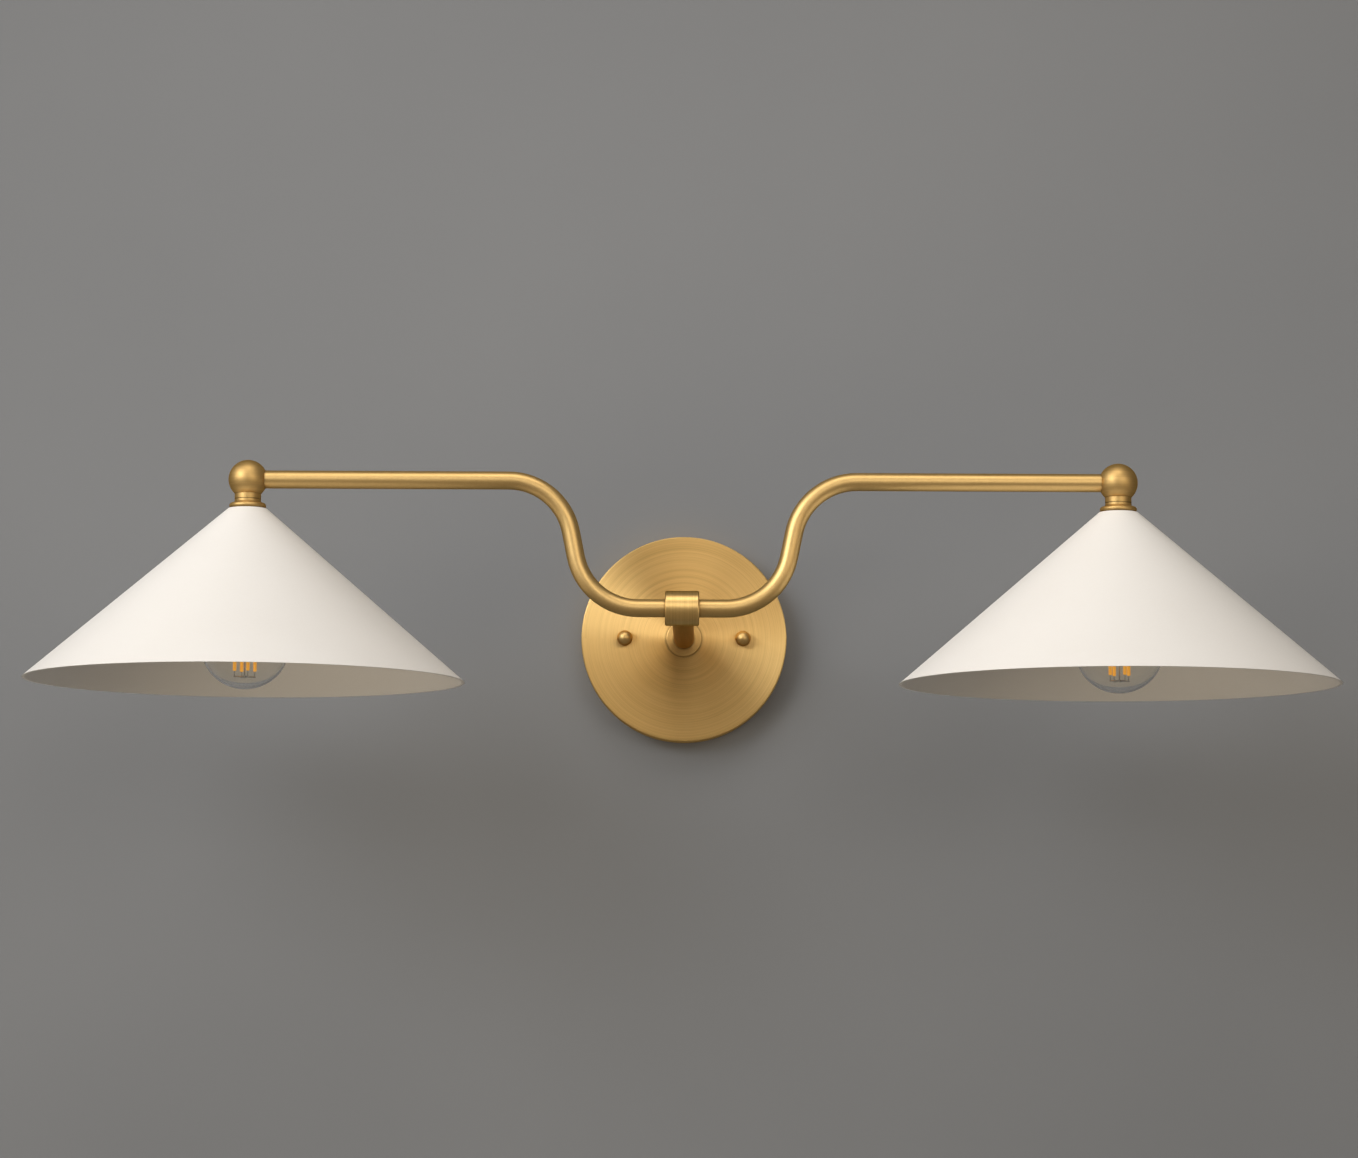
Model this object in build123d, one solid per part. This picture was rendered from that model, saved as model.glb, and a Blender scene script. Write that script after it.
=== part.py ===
from build123d import *
import math
import os

# A wall light with two cone shades on one bent arm. Sizes are in millimetres.
# The origin is the middle of the wall mount, the wall is the plane y = 0 and +Z is up.
# The light stands out from the wall towards -Y, and depth means the distance out from the wall.

# Fits
thread_gap = 0.05  # radial room in a threaded joint, where the threads are plain cylinders
hole_gap = 0.4  # radial room in a clearance hole
loose_gap = 0.3  # room between pieces that lie close without bearing on each other

# Crossbar on the wall box
bar_standoff = 1.0
bar_thickness = 1.6
bar_width = 18.0
box_screw_spacing = 88.9
box_slot_length = 12.0
box_slot_width = 4.6
box_slot_end_land = 4.55
stud_end_land = 9.0
rivet_bore = 8.0
rivet_wall = 1.0
rivet_flange_width = 2.4
rivet_flange_thickness = 0.8
ground_screw_offset = 20.0
ground_screw_diameter = 4.0
ground_screw_head_diameter = 8.0
ground_screw_head_height = 2.4
screw_slot_width = 1.0
screw_slot_depth = 1.0

# Back plate and its two studs
plate_diameter = 127.0
plate_depth = 16.0
plate_wall = 1.6
plate_edge_radius = 0.8
stud_spacing = 73.0
stud_diameter = 4.0
stud_head_diameter = 7.0
stud_head_height = 1.4
stud_nut_width = 7.0
stud_nut_height = 3.2
stud_in_ball_nut = 5.6
ball_nut_diameter = 9.5
ball_nut_rise = 3.9
ball_nut_foot_diameter = 6.6

# Threaded nipples, the same size throughout
nipple_diameter = 9.7
nipple_bore = 6.8

# Stem and collar
arm_depth = 203.2
stem_diameter = 12.7
stem_bore = 8.0
stem_nipple_engagement = 12.0
stem_nipple_tail = 0.6
seat_ring_diameter = 22.2
seat_ring_thickness = 1.8
seat_ring_edge = 0.8
lock_washer_diameter = 15.5
lock_washer_thickness = 0.8
stem_nut_width = 14.3
stem_nut_height = 2.8
collar_diameter = 20.0
collar_length = 19.5
collar_chamfer = 0.7
collar_seat_sink = 0.3
collar_nipple_engagement = 8.0
set_screw_diameter = 4.0
set_screw_key_width = 2.0
set_screw_key_depth = 1.8
set_screw_sink = 0.5

# Arm tube
tube_diameter = 10.3
tube_wall = 1.15
arm_rise = 73.0
arm_low_half = 25.0
arm_bend_radius = 36.5
arm_bend_angle = 78.5
head_spacing = 497.2

# Ball and neck at each end of the arm
ball_diameter = 22.3
ball_flat = 8.3
ball_passage = 7.2
elbow_radius = 5.0
neck_diameter = 15.0
neck_upper_height = 2.9
neck_groove_width = 0.5
neck_groove_depth = 0.35
neck_ring_height = 1.1
neck_flare_height = 0.9
neck_flare_sag = 0.35
neck_flange_diameter = 21.0
neck_bead_height = 3.1
neck_bead_bulge = 1.1

# Shade
shade_diameter = 250.0
shade_top_diameter = 21.8
shade_height = 98.6
shade_wall = 1.1
shade_top_round = 1.3
shade_washer_diameter = 18.0
shade_washer_thickness = 0.8
shade_nut_width = 14.3
shade_nut_height = 3.0

# Lampholder
cap_hub_diameter = 15.0
cap_hub_height = 2.6
cap_thread_height = 4.6
cap_shoulder_drop = 6.5
cap_skirt_height = 8.7
cap_wall = 1.5
terminal_room = 10.2
holder_wall = 2.4
holder_floor = 2.9
holder_length = 28.0
shell_wall = 0.45
shell_lip = 4.0
shell_foot_height = 2.1
contact_diameter = 10.0
contact_thickness = 0.6
contact_rivet_diameter = 2.8
contact_head_diameter = 5.0
contact_head_height = 0.8
terminal_offset = 9.5
terminal_length = 7.0
terminal_width = 6.0
terminal_thickness = 0.8
terminal_screw_diameter = 5.0
terminal_screw_height = 1.6

# Bulb, hung from its screw base
globe_diameter = 51.4
globe_neck_length = 4.4
globe_neck_blend = 10.0
globe_wall = 0.8
base_diameter = 26.0
base_wall = 0.5
base_length = 24.1
base_thread_pitch = 3.63
base_thread_depth = 0.8
base_thread_turns = 4
base_skirt_height = 3.6
base_skirt_wall = 0.65
base_top_diameter = 17.0
insulator_height = 2.4
tip_diameter = 9.6
tip_height = 1.2
bulb_contact_gap = 0.3
socket_play = 0.2
flare_thickness = 1.2
pillar_diameter = 4.2
pillar_length = 15.0
pillar_foot_diameter = 8.4
pillar_foot_height = 2.4
pillar_taper_height = 5.1
filament_count = 4
filament_turn = 24.0
filament_diameter = 2.0
filament_length = 33.0
filament_circle = 12.0
filament_above_globe_bottom = 10.2
lead_wire_diameter = 0.8
lead_hub_diameter = 2.0
lead_hub_height = 1.4
lead_pin_diameter = 0.6
lead_pin_length = 3.2

# Wiring
wire_diameter = 2.0
wire_offset = 1.2
wire_collar_bend = 4.0
wire_plate_bend = 3.0
wire_terminal_bend = 2.6
wire_terminal_run = 3.0
wire_nut_mouth_diameter = 8.6
wire_nut_end_diameter = 6.0
wire_nut_length = 18.0
wire_nut_bore = 5.2
wire_nut_bore_depth = 12.0
wire_nut_from_axis = 14.0
wire_in_nut = 10.0

# Worked out from the above: places along the depth of the centre
box_strap_length = box_screw_spacing + box_slot_length + 2 * box_slot_end_land
swivel_bar_length = stud_spacing + 2 * stud_end_land
strap_front = bar_standoff + bar_thickness
bar_front = strap_front + bar_thickness
plate_inside = plate_depth - plate_wall
washer_back = plate_inside - lock_washer_thickness
stem_nut_back = washer_back - stem_nut_height
stem_nipple_back = stem_nut_back - stem_nipple_tail
splice_depth = strap_front + loose_gap + wire_nut_mouth_diameter / 2
stem_start = plate_depth + seat_ring_thickness
collar_radius = collar_diameter / 2
stem_radius = stem_diameter / 2
nipple_radius = nipple_diameter / 2
tube_radius = tube_diameter / 2
collar_seat_reach = math.sqrt(collar_radius**2 - (stem_radius + thread_gap) ** 2) - collar_seat_sink
stem_end = arm_depth - collar_seat_reach

# Worked out from the above: heights at each head
head_x = head_spacing / 2
ball_radius = ball_diameter / 2
neck_top = arm_rise - ball_flat
neck_ring_low = neck_top - neck_upper_height - neck_groove_width - neck_ring_height
neck_bead_top = neck_ring_low - neck_flare_height
shade_top = neck_bead_top - neck_bead_height
shade_rim = shade_top - shade_height
shade_slope = (shade_diameter - shade_top_diameter) / 2 / shade_height
shade_side_wall = shade_wall * math.hypot(1, shade_slope)
shade_inner_top = shade_top - shade_wall
shade_nut_top = shade_inner_top - shade_washer_thickness
cap_top = shade_nut_top - shade_nut_height
cap_shoulder_top = cap_top - cap_hub_height
cap_shoulder_low = cap_shoulder_top - cap_shoulder_drop
cap_low = cap_shoulder_low - cap_skirt_height
cap_hub_low = cap_top - cap_thread_height
holder_top = cap_hub_low - terminal_room
holder_ceiling = holder_top - holder_floor
holder_low = holder_top - holder_length
bulb_top = holder_ceiling - contact_thickness - bulb_contact_gap
base_radius = base_diameter / 2
holder_bore_radius = base_radius + socket_play + base_thread_depth + shell_wall + thread_gap
cap_radius = holder_bore_radius + holder_wall
insulator_top = bulb_top - tip_height
base_top = insulator_top - insulator_height
base_low = base_top - base_length + insulator_height
globe_radius = globe_diameter / 2
globe_neck_radius = base_radius - base_skirt_wall - thread_gap
glass_top = base_low + base_skirt_height - loose_gap
blend_x = globe_neck_radius + globe_neck_blend
blend_z = glass_top - globe_neck_length
globe_centre = blend_z - math.sqrt((globe_radius + globe_neck_blend) ** 2 - blend_x**2)
globe_bottom = globe_centre - globe_radius
pillar_top = glass_top - flare_thickness
pillar_end = pillar_top - pillar_length
terminal_top = holder_top + terminal_thickness + terminal_screw_height


def rod_x(radius, x_from, x_to, depth, z):
    """A round bar along X."""
    return Pos((x_from + x_to) / 2, -depth, z) * Rot(0, 90, 0) * Cylinder(radius, abs(x_to - x_from))


def rod_y(radius, depth_from, depth_to, x=0.0, z=0.0):
    """A round bar along the depth."""
    middle = (depth_from + depth_to) / 2
    return Pos(x, -middle, z) * Rot(90, 0, 0) * Cylinder(radius, abs(depth_to - depth_from))


def rod_z(radius, z_from, z_to, x=0.0, depth=0.0):
    """A round bar along Z."""
    return Pos(x, -depth, (z_from + z_to) / 2) * Cylinder(radius, abs(z_to - z_from))


def slab(sketch, depth_from, depth_to):
    """A flat shape drawn as the light is seen from the front, between two depths."""
    return extrude(Plane.XZ.offset(depth_from) * sketch, amount=depth_to - depth_from)


def turned(edges):
    """A solid turned about Z from the edges of its half section, drawn as radius and height."""
    return revolve(Plane.XZ * make_face(edges), Axis.Z)


def at_head(sign, shape):
    """Moves a shape made on the Z axis to a head of the light."""
    return Pos(sign * head_x, -arm_depth, 0) * shape


def hexagon(width_across_flats):
    return RegularPolygon(width_across_flats / 2, 6, major_radius=False)


# Crossbar


def make_box_strap():
    outline = SlotOverall(box_strap_length, bar_width, rotation=90)
    for end in (-1, 1):
        outline -= Pos(0, end * box_screw_spacing / 2) * SlotOverall(
            box_slot_length, box_slot_width, rotation=90
        )
    outline -= Circle(rivet_bore / 2 + rivet_wall + thread_gap)
    return slab(outline, bar_standoff, strap_front)


def make_swivel_bar():
    outline = SlotOverall(swivel_bar_length, bar_width)
    for end in (-1, 1):
        outline -= Pos(end * stud_spacing / 2, 0) * Circle(stud_diameter / 2 + thread_gap)
    outline -= Pos(-ground_screw_offset, 0) * Circle(ground_screw_diameter / 2 + thread_gap)
    outline -= Circle(rivet_bore / 2 + rivet_wall + thread_gap)
    return slab(outline, strap_front, bar_front)


def make_strap_rivet():
    barrel_radius = rivet_bore / 2 + rivet_wall
    flange_radius = barrel_radius + rivet_flange_width
    back = bar_standoff - rivet_flange_thickness
    front = bar_front + rivet_flange_thickness
    rivet = rod_y(barrel_radius, back, front)
    rivet += rod_y(flange_radius, back, bar_standoff)
    rivet += rod_y(flange_radius, bar_front, front)
    return rivet - rod_y(rivet_bore / 2, back, front)


def make_ground_screw():
    head_front = bar_front + ground_screw_head_height
    screw = rod_y(ground_screw_diameter / 2, bar_standoff, head_front, -ground_screw_offset)
    screw += rod_y(ground_screw_head_diameter / 2, bar_front, head_front, -ground_screw_offset)
    slot = Rectangle(ground_screw_head_diameter + hole_gap, screw_slot_width)
    return screw - slab(Pos(-ground_screw_offset, 0) * slot, head_front - screw_slot_depth, head_front)


# Back plate


def make_backplate():
    radius = plate_diameter / 2
    plate = rod_y(radius, 0, plate_depth)
    front_edge = plate.edges().filter_by(GeomType.CIRCLE).sort_by(Axis.Y)[0]
    plate = fillet(front_edge, plate_edge_radius)
    plate -= rod_y(radius - plate_wall, 0, plate_inside)
    plate -= rod_y(nipple_radius + thread_gap, plate_inside, plate_depth)
    for end in (-1, 1):
        plate -= rod_y(stud_diameter / 2 + hole_gap, plate_inside, plate_depth, end * stud_spacing / 2)
    return plate


def make_mounting_studs():
    studs = []
    for end in (-1, 1):
        x = end * stud_spacing / 2
        stud = rod_y(stud_diameter / 2, strap_front, plate_depth + stud_in_ball_nut, x)
        stud += rod_y(stud_head_diameter / 2, strap_front - stud_head_height, strap_front, x)
        studs.append(stud)
    return Compound(studs)


def make_stud_nuts():
    nuts = []
    for end in (-1, 1):
        outline = hexagon(stud_nut_width) - Circle(stud_diameter / 2 + thread_gap)
        nuts.append(slab(Pos(end * stud_spacing / 2, 0) * outline, bar_front, bar_front + stud_nut_height))
    return Compound(nuts)


def make_ball_nut(end):
    x = end * stud_spacing / 2
    centre_depth = plate_depth + ball_nut_rise
    ball = Pos(x, -centre_depth, 0) * Sphere(ball_nut_diameter / 2)
    ball -= rod_y(ball_nut_diameter, 0, plate_depth, x)
    ball += rod_y(ball_nut_foot_diameter / 2, plate_depth, centre_depth, x)
    hole_end = plate_depth + stud_in_ball_nut + loose_gap
    return ball - rod_y(stud_diameter / 2 + thread_gap, plate_depth, hole_end, x)


# Stem and collar


def make_nipple_y(depth_from, depth_to):
    return rod_y(nipple_radius, depth_from, depth_to) - rod_y(nipple_bore / 2, depth_from, depth_to)


def make_stem_seat_ring():
    ring = rod_y(seat_ring_diameter / 2, plate_depth, stem_start)
    front_edge = ring.edges().filter_by(GeomType.CIRCLE).sort_by(Axis.Y)[0]
    ring = fillet(front_edge, seat_ring_edge)
    return ring - rod_y(nipple_radius + thread_gap, plate_depth, stem_start)


def make_stem_lock_washer():
    washer = rod_y(lock_washer_diameter / 2, washer_back, plate_inside)
    return washer - rod_y(nipple_radius + thread_gap, washer_back, plate_inside)


def make_stem_hex_nut():
    outline = hexagon(stem_nut_width) - Circle(nipple_radius + thread_gap)
    return slab(outline, stem_nut_back, washer_back)


def make_stem():
    stem = rod_y(stem_radius, stem_start, stem_end)
    stem -= rod_y(stem_bore / 2, stem_start, stem_end)
    stem -= rod_y(nipple_radius + thread_gap, stem_start, stem_start + stem_nipple_engagement + loose_gap)
    return stem - rod_y(
        nipple_radius + thread_gap, stem_end - collar_nipple_engagement - loose_gap, stem_end
    )


def make_collar():
    half = collar_length / 2
    collar = rod_x(collar_radius, -half, half, arm_depth, 0)
    collar = chamfer(collar.edges().filter_by(GeomType.CIRCLE), collar_chamfer)
    collar -= rod_x(tube_radius + thread_gap, -half, half, arm_depth, 0)
    collar -= rod_y(stem_radius + thread_gap, arm_depth - collar_diameter, stem_end)
    collar -= rod_y(nipple_radius + thread_gap, stem_end, arm_depth)
    return collar - rod_z(set_screw_diameter / 2 + thread_gap, 0, collar_diameter, 0, arm_depth)


def make_collar_set_screw():
    low = tube_radius + thread_gap
    high = collar_radius - set_screw_sink
    screw = rod_z(set_screw_diameter / 2, low, high, 0, arm_depth)
    key = Plane.XY.offset(high - set_screw_key_depth) * hexagon(set_screw_key_width)
    return screw - Pos(0, -arm_depth, 0) * extrude(key, amount=set_screw_key_depth)


# Arm


def arm_corners():
    """The corners of the right half of the arm's centre line, as (x, z)."""
    turn = math.radians(arm_bend_angle)
    low_corner_x = arm_low_half + arm_bend_radius * math.tan(turn / 2)
    high_corner_x = low_corner_x + arm_rise / math.tan(turn)
    return (low_corner_x, 0.0), (high_corner_x, arm_rise)


def make_arm_tube():
    (low_x, low_z), (high_x, high_z) = arm_corners()
    end_x = head_x - elbow_radius
    half = [(low_x, low_z), (high_x, high_z), (end_x, high_z)]
    corners = [(-x, z) for x, z in reversed(half)] + half
    path = FilletPolyline(*[(x, -arm_depth, z) for x, z in corners], radius=arm_bend_radius)
    start = Plane(origin=path @ 0, z_dir=path % 0)
    ring = Circle(tube_radius) - Circle(tube_radius - tube_wall)
    tube = sweep(start * ring, path)
    return tube - rod_y(nipple_bore / 2, arm_depth - tube_diameter, arm_depth)


def make_end_ball(sign):
    x = sign * head_x
    seat_x = x - sign * elbow_radius
    seat_z = arm_rise - elbow_radius
    ball = Pos(x, -arm_depth, arm_rise) * Sphere(ball_radius)
    ball -= rod_z(ball_diameter, neck_top - ball_diameter, neck_top, x, arm_depth)
    ball -= rod_x(tube_radius + thread_gap, seat_x, x - sign * ball_diameter, arm_depth, arm_rise)
    ball -= rod_z(nipple_radius + thread_gap, neck_top, seat_z, x, arm_depth)
    ball -= rod_x(ball_passage / 2, seat_x, x, arm_depth, arm_rise)
    ball -= rod_z(ball_passage / 2, seat_z, arm_rise, x, arm_depth)
    return ball - Pos(x, -arm_depth, arm_rise) * Sphere(ball_passage / 2)


def make_neck():
    bore = nipple_radius + thread_gap
    radius = neck_diameter / 2
    flange = neck_flange_diameter / 2
    groove_top = neck_top - neck_upper_height
    groove_low = groove_top - neck_groove_width
    flare_end = (flange - neck_bead_bulge, neck_bead_top)
    flare_width = flare_end[0] - radius
    flare_span = math.hypot(flare_width, neck_flare_height)
    flare_middle = (
        radius + flare_width / 2 - neck_flare_sag * neck_flare_height / flare_span,
        neck_ring_low - neck_flare_height / 2 - neck_flare_sag * flare_width / flare_span,
    )
    bead_middle = (flange, (neck_bead_top + shade_top) / 2)
    bead_foot = (flare_end[0], shade_top)
    walls = Polyline(
        bead_foot,
        (bore, shade_top),
        (bore, neck_top),
        (radius, neck_top),
        (radius, groove_top),
        (radius - neck_groove_depth, groove_top),
        (radius - neck_groove_depth, groove_low),
        (radius, groove_low),
        (radius, neck_ring_low),
    )
    flare = ThreePointArc((radius, neck_ring_low), flare_middle, flare_end)
    bead = ThreePointArc(flare_end, bead_middle, bead_foot)
    return turned([*walls.edges(), flare, bead])


def make_head_nipple():
    top = arm_rise - elbow_radius
    return rod_z(nipple_radius, cap_hub_low, top) - rod_z(nipple_bore / 2, cap_hub_low, top)


# Shade


def make_shade():
    hole = nipple_radius + hole_gap
    rim = shade_diameter / 2
    top = shade_top_diameter / 2
    inner_rim = rim - shade_side_wall
    inner_top = top - shade_side_wall + shade_slope * shade_wall
    outline = Polyline(
        (hole, shade_top),
        (top, shade_top),
        (rim, shade_rim),
        (inner_rim, shade_rim),
        (inner_top, shade_inner_top),
        (hole, shade_inner_top),
        close=True,
    )
    section = make_face(outline)
    top_corner = section.vertices().sort_by_distance((top, shade_top))[0]
    section = fillet(top_corner, shade_top_round)
    return revolve(Plane.XZ * section, Axis.Z)


def make_shade_washer():
    washer = rod_z(shade_washer_diameter / 2, shade_nut_top, shade_inner_top)
    return washer - rod_z(nipple_radius + thread_gap, shade_nut_top, shade_inner_top)


def make_shade_nut():
    outline = hexagon(shade_nut_width) - Circle(nipple_radius + thread_gap)
    return extrude(Plane.XY.offset(cap_top) * outline, amount=shade_nut_height)


# Lampholder


def make_socket_cap():
    bore = nipple_radius + thread_gap
    hub = cap_hub_diameter / 2
    inside = cap_radius - cap_wall
    section = Polyline(
        (bore, cap_top),
        (hub, cap_top),
        (hub, cap_shoulder_top),
        (cap_radius, cap_shoulder_low),
        (cap_radius, cap_low),
        (inside, cap_low),
        (inside, cap_shoulder_low - cap_wall / 2),
        (hub, cap_hub_low),
        (bore, cap_hub_low),
        close=True,
    )
    return turned(section.edges())


def make_socket_body():
    inside_cap = cap_radius - cap_wall - thread_gap
    body = rod_z(cap_radius, holder_low, cap_low)
    body += rod_z(inside_cap, cap_low, holder_top)
    body -= rod_z(holder_bore_radius, holder_low, holder_ceiling)
    body -= rod_z(contact_rivet_diameter / 2 + thread_gap, holder_ceiling, holder_top)
    return body


def thread_wave(middle_radius, z_low, pitch, turns, depth):
    """Arcs in and out by turns, as a rolled screw shell shows in section, from low to high."""
    arcs = []
    for half in range(2 * turns):
        out = 1 if half % 2 else -1
        z = z_low + half * pitch / 2
        bulge = (middle_radius + out * depth / 2, z + pitch / 4)
        arcs.append(ThreePointArc((middle_radius, z), bulge, (middle_radius, z + pitch / 2)))
    return arcs


def make_screw_shell():
    """The lampholder's thin screw shell, threaded in rings, with a lip at the top."""
    low = holder_low + hole_gap
    wave_low = low + shell_foot_height
    wave_high = wave_low + base_thread_turns * base_thread_pitch
    inner_middle = base_radius + socket_play + base_thread_depth / 2
    outer_middle = inner_middle + shell_wall
    lip_low = holder_ceiling - shell_wall
    lip_radius = inner_middle - shell_lip
    inner = thread_wave(inner_middle, wave_low, base_thread_pitch, base_thread_turns, base_thread_depth)
    outer = thread_wave(outer_middle, wave_low, base_thread_pitch, base_thread_turns, base_thread_depth)
    foot = Polyline(
        (inner_middle, wave_low), (inner_middle, low), (outer_middle, low), (outer_middle, wave_low)
    )
    head = Polyline(
        (inner_middle, wave_high),
        (inner_middle, lip_low),
        (lip_radius, lip_low),
        (lip_radius, holder_ceiling),
        (outer_middle, holder_ceiling),
        (outer_middle, wave_high),
    )
    return turned([*inner, *outer, *foot.edges(), *head.edges()])


def make_socket_contact():
    low = holder_ceiling - contact_thickness
    top = holder_top + contact_head_height
    contact = rod_z(contact_diameter / 2, low, holder_ceiling)
    contact += rod_z(contact_rivet_diameter / 2, holder_ceiling, top)
    return contact + rod_z(contact_head_diameter / 2, holder_top, top)


def make_socket_terminals():
    terminals = []
    plate_top = holder_top + terminal_thickness
    for end in (-1, 1):
        x = end * terminal_offset
        plate = Pos(x, 0, holder_top + terminal_thickness / 2) * Box(
            terminal_length, terminal_width, terminal_thickness
        )
        terminals.append(plate + rod_z(terminal_screw_diameter / 2, plate_top, terminal_top, x))
    return Compound(terminals)


# Bulb


def globe_section(wall):
    """Edges of the globe's outside less a wall, from the open top of its neck to the bottom on the axis."""
    neck = globe_neck_radius - wall
    slope = math.atan2(blend_z - globe_centre, blend_x)
    radius = globe_radius - wall
    blend = globe_neck_blend + wall
    half_turn = math.pi + slope / 2
    join = (radius * math.cos(slope), globe_centre + radius * math.sin(slope))
    blend_middle = (blend_x + blend * math.cos(half_turn), blend_z + blend * math.sin(half_turn))
    low = (slope - math.pi / 2) / 2
    globe_middle = (radius * math.cos(low), globe_centre + radius * math.sin(low))
    return [
        Line((neck, glass_top), (neck, blend_z)),
        ThreePointArc((neck, blend_z), blend_middle, join),
        ThreePointArc(join, globe_middle, (0, globe_centre - radius)),
    ]


def make_bulb_glass():
    rim = Line((globe_neck_radius, glass_top), (globe_neck_radius - globe_wall, glass_top))
    seam = Line((0, globe_bottom), (0, globe_bottom + globe_wall))
    return turned([rim, *globe_section(0), seam, *globe_section(globe_wall)])


def make_bulb_base():
    """The bulb's screw base: a thin cap, open at the foot round the glass, threaded in rings."""
    middle = base_radius - base_thread_depth / 2
    skirt_top = base_low + base_skirt_height
    thread_top = skirt_top + base_thread_turns * base_thread_pitch
    skirt_inside = base_radius - base_skirt_wall
    inside = middle - base_thread_depth / 2 - base_wall
    mouth = base_top_diameter / 2
    ceiling = base_top - base_wall
    wave = thread_wave(middle, skirt_top, base_thread_pitch, base_thread_turns, base_thread_depth)
    rest = Polyline(
        (middle, thread_top),
        (mouth, base_top),
        (mouth - base_wall, base_top),
        (mouth - base_wall, ceiling),
        (inside, thread_top - base_wall),
        (inside, skirt_top),
        (skirt_inside, skirt_top),
        (skirt_inside, base_low),
        (base_radius, base_low),
        (base_radius, skirt_top - base_thread_depth),
        (middle, skirt_top),
    )
    return turned([*wave, *rest.edges()])


def make_bulb_insulator():
    mouth = base_top_diameter / 2
    section = Polyline(
        (0, base_top - base_wall),
        (mouth - base_wall, base_top - base_wall),
        (mouth - base_wall, base_top),
        (mouth, base_top),
        (tip_diameter / 2, insulator_top),
        (0, insulator_top),
        close=True,
    )
    return turned(section.edges())


def make_bulb_tip():
    tip = rod_z(tip_diameter / 2, insulator_top, bulb_top)
    return fillet(tip.edges().filter_by(GeomType.CIRCLE).sort_by(Axis.Z)[-1], tip_height / 2)


def make_bulb_stem():
    """The glass mount: a flare sealed across the neck, and the pillar that carries the filaments."""
    flare = globe_neck_radius - globe_wall - thread_gap
    pillar = pillar_diameter / 2
    foot_low = pillar_top - pillar_foot_height
    section = Polyline(
        (0, glass_top),
        (flare, glass_top),
        (flare, pillar_top),
        (pillar_foot_diameter / 2, foot_low),
        (pillar, foot_low - pillar_taper_height),
        (pillar, pillar_end),
        (0, pillar_end),
        close=True,
    )
    return turned(section.edges())


def filament_places():
    for number in range(filament_count):
        angle = math.radians(filament_turn + number * 360 / filament_count)
        yield filament_circle / 2 * math.cos(angle), filament_circle / 2 * math.sin(angle)


def filament_ends():
    low = globe_bottom + filament_above_globe_bottom
    return low, low + filament_length


def make_bulb_filaments():
    low, high = filament_ends()
    sticks = []
    for x, y in filament_places():
        stick = rod_z(filament_diameter / 2, low, high, x, -y)
        sticks.append(fillet(stick.edges().filter_by(GeomType.CIRCLE), filament_diameter / 4))
    return Compound(sticks)


def make_spokes(inner_radius, z):
    """Wires that run out from a hub to the filaments."""
    outer_radius = (filament_circle + lead_wire_diameter) / 2
    length = outer_radius - inner_radius
    spoke = Rot(0, 90, 0) * Cylinder(lead_wire_diameter / 2, length)
    spokes = []
    for x, y in filament_places():
        angle = math.degrees(math.atan2(y, x))
        spokes.append(Rot(0, 0, angle) * Pos(inner_radius + length / 2, 0, z) * spoke)
    return spokes


def make_lower_wires():
    """A rod down from the pillar to a hub, whose spokes carry a pin under each filament."""
    low, _ = filament_ends()
    spoke_z = low - lead_pin_length
    half_hub = lead_hub_height / 2
    wires = rod_z(lead_hub_diameter / 2, spoke_z - half_hub, spoke_z + half_hub)
    wires += rod_z(lead_wire_diameter / 2, spoke_z, pillar_end)
    for spoke in make_spokes(lead_hub_diameter / 4, spoke_z):
        wires += spoke
    for x, y in filament_places():
        wires += rod_z(lead_pin_diameter / 2, spoke_z, low, x, -y)
    return wires


def make_upper_wires():
    """A band round the pillar, whose spokes end on top of the filaments."""
    _, high = filament_ends()
    bore = pillar_diameter / 2 + thread_gap
    band = bore + lead_wire_diameter
    spoke_z = high + lead_wire_diameter / 2 + thread_gap
    half_hub = lead_hub_height / 2
    wires = rod_z(band, spoke_z - half_hub, spoke_z + half_hub)
    for spoke in make_spokes(bore, spoke_z):
        wires += spoke
    return wires - rod_z(bore, spoke_z - half_hub, spoke_z + half_hub)


def make_bulb_wires():
    return Compound([make_lower_wires(), make_upper_wires()])


# Wiring


def shifted_corner(corner, heading_in, heading_out, shift):
    """A corner of a path moved to the left of its two headings, which are angles in degrees."""
    normals = []
    for heading in (heading_in, heading_out):
        turn = math.radians(heading)
        normals.append((-math.sin(turn), math.cos(turn)))
    (ax, az), (bx, bz) = normals
    share = shift / (1 + ax * bx + az * bz)
    return corner[0] + share * (ax + bx), corner[1] + share * (az + bz)


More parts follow.
